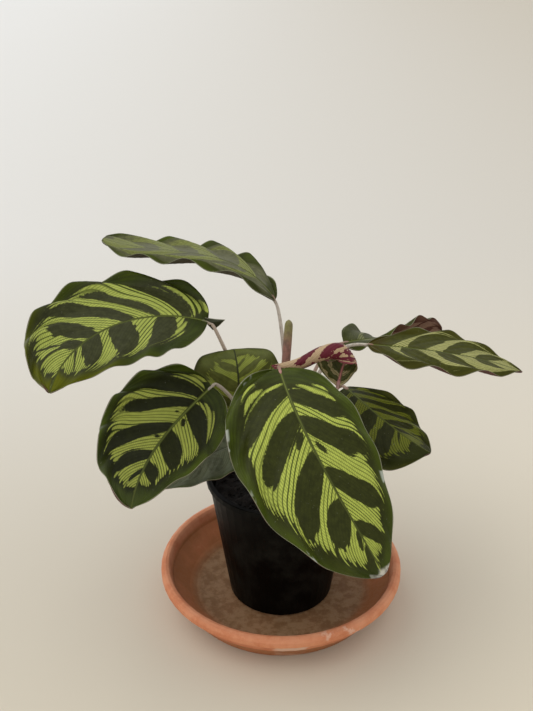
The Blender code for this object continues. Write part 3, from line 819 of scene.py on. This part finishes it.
def under_skin(n, tones, in_light, net, on_rib):
    """The purple underside, whose light marks lie under those of the upper face."""
    ground = n.mix(n.ramp(n.field("light"), *UNDER_ZONE), tones.under_margin, tones.under_dark)
    if tones.under_start:
        begun = n.add(n.field("share"), n.swing(n.noise(160.0), 0.5, 0.3))
        in_light = n.times(in_light, n.ramp(begun, tones.under_start, tones.under_start + 0.05))
    skin = n.mix(in_light, ground, tones.under_light)
    skin = n.mix(n.times(net, 0.5), skin, tint(tones.under_margin, 0.6))
    return n.mix(on_rib, skin, tint(tones.under_light, 1.2))


def blade_material(name, tones):
    """Light zone with dark ovals and fine veins, a green margin, and the purple underside."""
    n = Nodes(name)
    strip = vein_strip(n)
    in_light = light_share(n, tones, *strip)
    net = vein_net(n, *strip, in_light)
    on_rib = n.fall(n.field("reach"), *RIB_EDGE)
    mottle = n.noise(260.0, 4.0, 0.6)
    upper = ribbed_skin(n, tones, marked_skin(n, tones, in_light, net, mottle), on_rib)
    lower = under_skin(n, tones, in_light, net, on_rib)
    quilt = n.times(n.math("POWER", strip[-1], 2.0), -0.6)
    grain = n.times(n.noise(1500.0, 3.0), 0.5)
    n.bump(n.add(quilt, grain), 0.35, 0.00025)
    colour = n.mix(n.ramp(n.field("under"), 0.45, 0.55), upper, lower)
    return n.finish(colour, n.add(n.times(mottle, 0.10), 0.34), tones.gloss)


PLAIN_STALK = (0.22, 0.14, 0.09), (0.34, 0.22, 0.16), (0.3, 0.18, 0.13)
STALK_TONES = {
    # leaf: at the foot, near the blade, and on the knee under the blade
    "front": ((0.22, 0.13, 0.08), (0.3, 0.17, 0.12), (0.42, 0.2, 0.17)),
    "upper_left": ((0.2, 0.13, 0.08), (0.52, 0.42, 0.34), (0.1, 0.11, 0.035)),
    "middle_left": ((0.22, 0.14, 0.09), (0.38, 0.33, 0.26), (0.4, 0.37, 0.29)),
    "top": ((0.24, 0.15, 0.1), (0.46, 0.4, 0.33), (0.22, 0.13, 0.08)),
    "right": ((0.24, 0.16, 0.1), (0.5, 0.45, 0.38), (0.24, 0.13, 0.08)),
    "young": ((0.22, 0.14, 0.09), (0.36, 0.2, 0.16), (0.42, 0.19, 0.18)),
}


def stalk_material(name, low, high, knee):
    """Smooth skin whose colour changes from the foot to the blade, with faint streaks."""
    n = Nodes(name)
    share = n.field("share")
    body = n.mix(n.ramp(share, 0.2, 0.95), low, high)
    body = n.mix(n.ramp(share, 0.955, 0.985), body, knee)
    body = n.mix(n.ramp(n.noise(420.0, 3.0), 0.45, 0.75, 0.0, 0.5), body, tint(low, 0.55))
    n.bump(n.noise(900.0, 2.0), 0.2, 0.0002)
    return n.finish(body, 0.42)


CLAY = ((0.56, 0.165, 0.062), (0.68, 0.245, 0.105))
CLAY_SPECK = (0.72, 0.36, 0.20)
# paler clay on the upper part and the lip: partly bloom, partly a painted highlight on the rim's top face
CLAY_BLOOM_AND_RIM_HIGHLIGHT = (0.70, 0.31, 0.17)
# pale patches on the front and right front: partly scrapes, partly painted reflections of the light
CLAY_SCRAPE_AND_REFLECTION = (0.78, 0.55, 0.42)
# painted shade inside the saucer, on its inner wall and floor below the lip
CLAY_INNER_SHADE = (0.33, 0.115, 0.030)
CLAY_DUST = ((0.17, 0.092, 0.036), (0.28, 0.175, 0.088))
BLOOM_AND_RIM_HIGHLIGHT_HEIGHTS = (0.018, 0.0285)  # from none to all, in metres
INNER_SHADE_HEIGHTS = (0.0275, 0.0200)
INNER_SHADE_RADII = (0.0800, 0.0785)
DUST_HEIGHTS = (0.004, 0.006)
DUST_RADII = (0.068, 0.058)
# scrapes that are partly painted reflections: direction and half widths in radians, and heights from none to
# all
WALL_SCRAPE_AND_REFLECTION = (-1.50, (0.10, 0.18), (0.0235, 0.0205))
LIP_SCRAPE_AND_REFLECTION = (-1.00, (0.20, 0.34), (0.017, 0.021))
RINGS_ACROSS = 2600.0  # radians in a metre
RINGS_UP = 1500.0


def scrape_and_reflection_zone(n, turn, z, middle, width, heights):
    """1 on the saucer about one direction and on one side of a height."""
    aside = n.math("ABSOLUTE", n.math("SUBTRACT", turn, middle))
    return n.times(n.fall(aside, *width), n.ramp(z, *heights))


def clay_material():
    """Unglazed clay: turned rings, paler clay above that is partly bloom and partly a painted highlight on
    the rim, pale patches that are partly scrapes and partly painted reflections, painted shade inside and a
    dusty floor.
    """
    n = Nodes("terracotta")
    x, y, z = n.axes()
    radius = n.math("SQRT", n.add(n.times(x, x), n.times(y, y)))
    turn = n.math("ARCTAN2", y, x)
    cloud = n.noise(38.0, 5.0, 0.6)
    fine = n.noise(420.0, 4.0, 0.65)
    body = n.mix(n.ramp(cloud, 0.35, 0.65), *CLAY)
    body = n.mix(n.ramp(fine, 0.42, 0.72, 0.0, 0.40), body, CLAY_SPECK)
    # partly bloom, partly a painted highlight on the rim
    bloom = n.times(n.ramp(z, *BLOOM_AND_RIM_HIGHLIGHT_HEIGHTS), n.ramp(cloud, 0.38, 0.62, 0.15, 0.7))
    body = n.mix(bloom, body, CLAY_BLOOM_AND_RIM_HIGHLIGHT)
    on_wall = scrape_and_reflection_zone(n, turn, z, *WALL_SCRAPE_AND_REFLECTION)
    on_lip = scrape_and_reflection_zone(n, turn, z, *LIP_SCRAPE_AND_REFLECTION)
    # pale patches: partly scrapes, partly painted reflections on the front and right front of the saucer
    scrape_and_reflection = n.ramp(n.add(n.noise(60.0, 5.0, 0.7), n.times(on_wall, 0.22)), 0.54, 0.62)
    scrape_and_reflection = n.times(scrape_and_reflection, n.add(n.times(on_wall, 0.8), n.times(on_lip, 0.55)))
    body = n.mix(scrape_and_reflection, body, CLAY_SCRAPE_AND_REFLECTION)
    # painted shade inside the saucer, below the lip
    inside = n.times(n.ramp(radius, *INNER_SHADE_RADII), n.ramp(z, *INNER_SHADE_HEIGHTS))
    body = n.mix(n.times(inside, n.ramp(cloud, 0.3, 0.6, 0.45, 0.95)), body, CLAY_INNER_SHADE)
    on_floor = n.times(n.ramp(radius, *DUST_RADII), n.ramp(z, *DUST_HEIGHTS))
    dust = n.mix(n.ramp(n.noise(120.0, 5.0, 0.7), 0.4, 0.6), *CLAY_DUST)
    body = n.mix(n.times(on_floor, 0.85), body, dust)
    rings = n.math("SINE", n.add(n.times(radius, RINGS_ACROSS), n.times(z, RINGS_UP)))
    n.bump(n.add(n.times(rings, 0.10), fine), 0.35, 0.0005)
    return n.finish(body, n.ramp(fine, 0.3, 0.7, 0.62, 0.85))


PLASTIC = ((0.0010, 0.0010, 0.0008), (0.0150, 0.0140, 0.0105))


def plastic_material():
    """Thin black moulded plastic with a dusty bloom and faint scuffs."""
    n = Nodes("black_plastic_used")
    dust = n.noise(60.0, 5.0, 0.65)
    body = n.mix(n.ramp(dust, 0.42, 0.75, 0.0, 0.6), *PLASTIC)
    n.bump(n.noise(700.0, 3.0), 0.15, 0.0003)
    return n.finish(body, n.ramp(dust, 0.3, 0.7, 0.36, 0.58), 0.07)


# partly the soil's own dark colour, partly painted shade inside the pot
SOIL = ((0.003, 0.002, 0.0014), (0.013, 0.0085, 0.0050))
SOIL_FLECK = (0.070, 0.050, 0.032)


def soil_material():
    """Nearly black crumbs, partly the soil's own dark colour and partly painted shade inside the pot, with a
    few pale flecks.
    """
    n = Nodes("potting_soil_crumbs")
    crumb = n.noise(300.0, 6.0, 0.7)
    body = n.mix(n.ramp(crumb, 0.35, 0.65), *SOIL)
    body = n.mix(n.ramp(n.noise(900.0, 2.0), 0.70, 0.76), body, SOIL_FLECK)
    n.bump(crumb, 0.8, 0.002)
    return n.finish(body, 0.9)


BUD_BROWN = (0.13, 0.07, 0.045)
BUD_PINK = (0.26, 0.12, 0.085)
BUD_OLIVE = (0.19, 0.17, 0.050)
BUD_STREAK = (0.09, 0.05, 0.03)


def bud_material():
    """Olive at the top, brown-pink in the middle and brown below."""
    n = Nodes("bud_skin")
    share = n.field("share")
    body = n.mix(n.ramp(share, 0.55, 0.82), BUD_BROWN, BUD_PINK)
    body = n.mix(n.ramp(share, 0.86, 0.97), body, BUD_OLIVE)
    body = n.mix(n.ramp(n.noise(260.0, 4.0), 0.45, 0.7, 0.0, 0.6), body, BUD_STREAK)
    n.bump(n.noise(800.0, 3.0), 0.25, 0.0003)
    return n.finish(body, 0.45)


# Pieces

def sheet(name, tones, upper, lower, fields, slot, *replaced):
    mesh = sheet_mesh(name, upper, lower, fields)
    piece(name, mesh, blade_material(name + "_skin", tones), slot, *replaced)


def blade(name, leaf):
    """A fine blade that takes the place of its solid."""
    step = np.linspace(0, 1, BLADE_ROWS + 1)
    rows = np.clip(step - ROW_CROWDING * np.sin(math.tau * step), 0, 1)
    columns = np.linspace(-1, 1, BLADE_COLUMNS + 1)
    columns = np.sign(columns) * np.abs(columns) ** COLUMN_POWER
    share, across = grid(rows, columns)
    upper = blade_points(leaf, share, across)
    # the narrow base is too short to have good normals of its own
    grown = growth(share, 0.0, BLADE_END_SHARE)[..., None]
    normal = unit(blade_frames(leaf, share)[2] * (1 - grown) + grid_normals(upper) * grown)
    reach = half_reach(leaf, share, across)
    whole = half_reach(leaf, share, np.sign(across) + (across == 0))
    far = np.abs(across)
    phase = math.tau * vein_place(share, far) * VEIN_COUNT / PLEAT_VEINS
    pleat = PLEAT_HEIGHT * np.cos(phase) * np.sin(np.pi * far) * np.sin(np.pi * share) ** PLEAT_FADE
    groove = GROOVE_DEPTH * np.exp(-(reach / GROOVE_WIDTH) ** 2) * (1 - share)
    upper = upper + normal * (pleat - groove - SHEET_DROP)[..., None]
    rib = between(*RIB_DEPTHS, share) * np.exp(-(reach / RIB_WIDTH) ** 2)
    lower = upper - normal * (SHEET_THICKNESS + rib)[..., None]
    fields = mark_fields(name, share, across, reach, whole - reach)
    sheet(name + "_leaf", TONES[name], upper, lower, fields, "leaf_blade", name + "_blade")


def ear():
    """The small lobe of the upper left blade behind its stalk."""
    base = np.array(LEAVES["upper_left"].base, float)
    along_edge, out = grid(*(np.linspace(0, 1, count + 1) for count in EAR_GRID))
    root = base + np.array(EAR_ROOT)
    edge = base + along_list(EAR_CORNERS, along_edge)
    upper = root + (edge - root) * out[..., None]
    upper[..., 1] -= EAR_BULGE * np.sin(np.pi * out) * np.sin(np.pi * along_edge)
    lower = upper + (0.0, SHEET_THICKNESS, 0.0)
    share, reach = (np.full_like(out, value) for value in (EAR_SHARE, EAR_REACH))
    fields = mark_fields("upper_left", share, between(EAR_FAR, 1.0, out), reach, EAR_INSET * (1 - out))
    sheet("upper_left_ear", TONES["ear"], upper, lower, fields, "leaf_blade")


def petiole(name, foot, rise, end, direction, reach):
    """A stalk: straight in its hole, then bending over and running on a little way under the blade."""
    ground = np.array((*foot, SOIL_TOP), float)
    up = np.array((0.0, 0.0, 1.0))
    knee = end - direction * STALK_KNEE_LENGTH
    in_hole, in_bend, in_knee = STALK_POINTS
    hole = ground - up * HOLE_DEPTH + up * np.linspace(GAP, HOLE_DEPTH, in_hole)[:-1, None]
    bend = bezier(ground, ground + up * rise, knee - direction * reach, knee, np.linspace(0, 1, in_bend))
    tail = knee + direction * np.linspace(0, STALK_KNEE_LENGTH + KNEE_RUN, in_knee)[1:, None]
    foot_radii = np.full(len(hole), STALK_FOOT_RADIUS)
    bend_radii = np.linspace(STALK_FOOT_RADIUS, STALK_NECK_RADIUS, len(bend))
    profile = np.clip(np.linspace(*KNEE_SPAN, len(tail)), KNEE_SHOULDER, 1)
    knee_radii = STALK_KNEE_RADIUS * np.sqrt(np.clip(1 - profile ** 2, KNEE_LEAST, 1))
    radii = np.concatenate([foot_radii, bend_radii, knee_radii])
    mesh = stem_mesh(name + "_petiole", np.vstack([hole, bend, tail]), radii)
    material = stalk_material(name + "_petiole_skin", *STALK_TONES.get(name, PLAIN_STALK))
    piece(name + "_petiole", mesh, material, "leaf_stalk", name + "_stalk")


def leaf_petiole(name, leaf):
    base = np.zeros(1)
    direction = directions(leaf, base)[0]
    point, _, up = (value[0] for value in blade_frames(leaf, base))
    end = point - up * (BLADE_END_THICKNESS / 2) - direction * GAP
    petiole(name, leaf.foot, leaf.rise, end, direction, leaf.reach)


def young_direction(share):
    ahead = through(YOUNG_MIDRIB, np.minimum(share + DIRECTION_STEP, 1))
    return unit(ahead - through(YOUNG_MIDRIB, np.maximum(share - DIRECTION_STEP, 0)))


def young_leaf():
    """The youngest open leaf, whose margins still curl over its upper face, tighter towards the tip."""
    share, across = grid(np.linspace(0, 1, YOUNG_ROWS + 1), np.linspace(-1, 1, YOUNG_COLUMNS + 1))
    centre = through(YOUNG_MIDRIB, share)
    direction = young_direction(share)
    opening = along_list(YOUNG_OPENINGS, share)
    opening = unit(opening - direction * np.sum(opening * direction, -1, keepdims=True))
    side = np.cross(direction, opening)
    uncurled = np.where(across < 0, np.exp(-((share - UNCURL_PLACE) / UNCURL_LENGTH) ** 2), 0.0)
    radius = along_list(YOUNG_ROLL_RADIUS, share) * (1 + UNCURL_RADIUS * uncurled)
    half = np.maximum(YOUNG_HALF_WIDTH * outline(YOUNG_FULLNESS, share), YOUNG_LEAST_HALF)
    half = half * (1 + UNCURL_WIDTH * uncurled)
    angle = across * half / radius
    ray = side * np.sin(angle)[..., None] - opening * np.cos(angle)[..., None]
    out = radius + YOUNG_ROLL_STEP * angle / math.tau
    far = np.abs(across)
    crease = CREASE_HEIGHT * np.cos(math.tau * vein_place(share, far) * CREASE_COUNT) * np.sin(np.pi * far)
    axis = centre + opening * radius[..., None]
    upper = axis + ray * (out + crease - SHEET_THICKNESS / 2)[..., None]
    rib = np.maximum(0, 1 - far * half / YOUNG_RIB_WIDTH) * (1 - share)
    lower = axis + ray * (out + crease + SHEET_THICKNESS / 2 + rib * YOUNG_RIB_DEPTH)[..., None]
    fields = mark_fields("young", share, across, far * half, (1 - far) * half)
    sheet("young_leaf", TONES["young"], upper, lower, fields, "young_leaf", "young_blade")


def young_petiole():
    direction = young_direction(np.zeros(1))[0]
    end = np.array(YOUNG_MIDRIB[0], float) - direction * GAP
    petiole("young", YOUNG_FOOT, YOUNG_RISE, end, direction, YOUNG_REACH)


def bud():
    """The newest leaf: a closed roll. Higher up, the edge of its outer turn is a step that winds round it."""
    share = np.linspace(0, 1, BUD_POINTS) ** BUD_CROWDING
    points = through(BUD_PATH, share)
    foot = points[0] - (0, 0, HOLE_DEPTH - GAP)
    cap = np.clip((share - 1 + BUD_CAP) / BUD_CAP, 0, BUD_CAP_LIMIT)
    radii = np.concatenate([[BUD_RADII[0]], along_list(BUD_RADII, share) * np.sqrt(1 - cap ** 2)])
    along, angle = grid(np.linspace(0, 1, len(radii)), np.arange(BUD_SIDES) * math.tau / BUD_SIDES)
    seam = np.mod(angle + along * SEAM_TURN, math.tau) / math.tau
    section = 1 - SEAM_DEPTH * growth(along, SEAM_START, SEAM_GROWTH) * seam
    mesh = stem_mesh("bud_roll", np.vstack([foot, points]), radii, BUD_SIDES, section)
    piece("bud_roll", mesh, bud_material(), "bud_sheath", "bud_spear")


def soil_body(rng):
    """Points in mm and faces of the soil inside the pot, with a rippled top."""
    angle = np.arange(SOIL_SIDES) * math.tau / SOIL_SIDES
    r, t = grid(np.linspace(1, SOIL_MIDDLE, SOIL_RINGS) * SOIL_TOP_RADIUS, angle)
    height = np.zeros_like(r)
    for _ in range(RIPPLE_COUNT):
        kx = rng.normal(0, RIPPLE_SPREAD)
        ky = rng.normal(0, RIPPLE_SPREAD)
        phase = rng.uniform(0, math.tau)
        height += np.cos(kx * r * np.cos(t) + ky * r * np.sin(t) + phase) * RIPPLE_HEIGHT
    calm = np.clip((SOIL_TOP_RADIUS - r) / SOIL_CALM, 0, 1)
    z = SOIL_TOP + np.clip(height, -RIPPLE_LIMIT, RIPPLE_LIMIT) * calm
    top = np.stack([r * np.cos(t), r * np.sin(t), z], -1)
    x, y = SOIL_FLOOR_RADIUS * np.cos(angle), SOIL_FLOOR_RADIUS * np.sin(angle)
    floor = np.stack([x, y, np.full(SOIL_SIDES, SOIL_FLOOR)], -1)
    points = np.concatenate([floor[None], top]).reshape(-1, 3)
    index = np.arange(len(points)).reshape(SOIL_RINGS + 1, SOIL_SIDES)
    faces = ring_faces(index)
    faces += [index[0][::-1].tolist(), index[-1].tolist()]
    return points.tolist(), faces


def crumb(rng, first):
    """Points in mm and faces of one dented crumb on the soil, whose points are numbered from first."""
    reach = SOIL_TOP_RADIUS * math.sqrt(rng.uniform(0, CRUMB_AREA))
    turn = rng.uniform(0, math.tau)
    size = rng.uniform(*CRUMB_SIZES)
    centre = np.array([reach * math.cos(turn), reach * math.sin(turn), SOIL_TOP + size * CRUMB_LIFT])
    corners = OCTAHEDRON + rng.normal(0, 1, OCTAHEDRON.shape) * CRUMB_DENTS
    faces = []
    for k in range(4):
        a, b = first + k, first + (k + 1) % 4
        faces += [(a, b, first + 4), (b, a, first + 5)]
    return (centre + corners * size * CRUMB_STRETCH).tolist(), faces


def soil_crumbs():
    """The soil with the crumbs that lie on it."""
    rng = np.random.default_rng(SOIL_SEED)
    points, faces = soil_body(rng)
    for _ in range(CRUMB_COUNT):
        more_points, more_faces = crumb(rng, len(points))
        points += more_points
        faces += more_faces
    mesh = smooth_mesh("soil_crumbs", points, faces, {})
    piece("soil_crumbs", mesh, soil_material(), "potting_soil", "soil")


def use(node, material):
    """Give a CAD node that keeps its shape a finer material."""
    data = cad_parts[node].data
    data.materials.clear()
    data.materials.append(material)


# Stage, in metres

FLOOR_CORNERS = ((-9, -9, 0), (9, -9, 0), (9, 14, 0), (-9, 14, 0))
FLOOR_ACROSS = (-1.2, 1.2)  # where its colours change
FLOOR_AWAY = (-0.30, 0.80)
# painted light: paler far on the left, where the light is strongest, and paler near on the right, where it
# lifts the sun's shadow
FLOOR_NEAR = ((0.57, 0.530, 0.445), (0.78, 0.69, 0.53))  # on the left and on the right
FLOOR_FAR = ((0.80, 0.80, 0.79), (0.56, 0.515, 0.435))
SKY_COLOUR = (0.98, 0.98, 0.97, 1.0)
SKY_STRENGTH = 0.82
WINDOW_PLACE = (-0.9, 0.15, 1.5)
WINDOW_ANGLE = 70  # degrees across: very soft
WINDOW_STRENGTH = 0.9
WINDOW_COLOUR = (1.0, 0.975, 0.93)
CAMERA_PLACE = (-0.0105, -0.5863, 0.4884)
CAMERA_TILT = 63.38  # degrees from looking straight down
CAMERA_LENS = 50.63
CAMERA_SENSOR = 36


def floor():
    """A pale floor with painted light: nearly white behind the plant on the left, where the light is
    strongest, paler in front on the right, where it lifts the sun's shadow, and beige elsewhere.
    """
    n = Nodes("pale_floor")
    x, y, _ = n.axes()
    across = n.ramp(x, *FLOOR_ACROSS)
    ground = n.mix(n.ramp(y, *FLOOR_AWAY), n.mix(across, *FLOOR_NEAR), n.mix(across, *FLOOR_FAR))
    mesh = bpy.data.meshes.new("studio_floor")
    mesh.from_pydata(FLOOR_CORNERS, [], [(0, 1, 2, 3)])
    mesh.materials.append(n.finish(ground, 0.8))
    shown("studio_floor", mesh)


def lights():
    """An even sky, and one very soft sun from the left, like a window."""
    world = bpy.data.worlds.new("soft_sky")
    world.use_nodes = True
    background = world.node_tree.nodes["Background"]
    background.inputs["Color"].default_value = SKY_COLOUR
    background.inputs["Strength"].default_value = SKY_STRENGTH
    bpy.context.scene.world = world
    light = bpy.data.lights.new("window", "SUN")
    light.angle = math.radians(WINDOW_ANGLE)
    light.energy = WINDOW_STRENGTH
    light.color = WINDOW_COLOUR
    holder = shown("window", light)
    holder.location = WINDOW_PLACE
    holder.rotation_euler = (-Vector(WINDOW_PLACE)).to_track_quat("-Z", "Y").to_euler()


def camera():
    """The photograph's own view."""
    data = bpy.data.cameras.new("photo_camera")
    data.lens = CAMERA_LENS
    data.sensor_width = CAMERA_SENSOR
    holder = shown("photo_camera", data)
    holder.location = CAMERA_PLACE
    holder.rotation_euler = (math.radians(CAMERA_TILT), 0, 0)
    bpy.context.scene.camera = holder
    bpy.context.scene.view_settings.view_transform = "Standard"


for leaf_name, leaf_values in LEAVES.items():
    blade(leaf_name, leaf_values)
    leaf_petiole(leaf_name, leaf_values)
ear()
young_leaf()
young_petiole()
bud()
soil_crumbs()
use("saucer", clay_material())
use("nursery_pot", plastic_material())
floor()
lights()
camera()
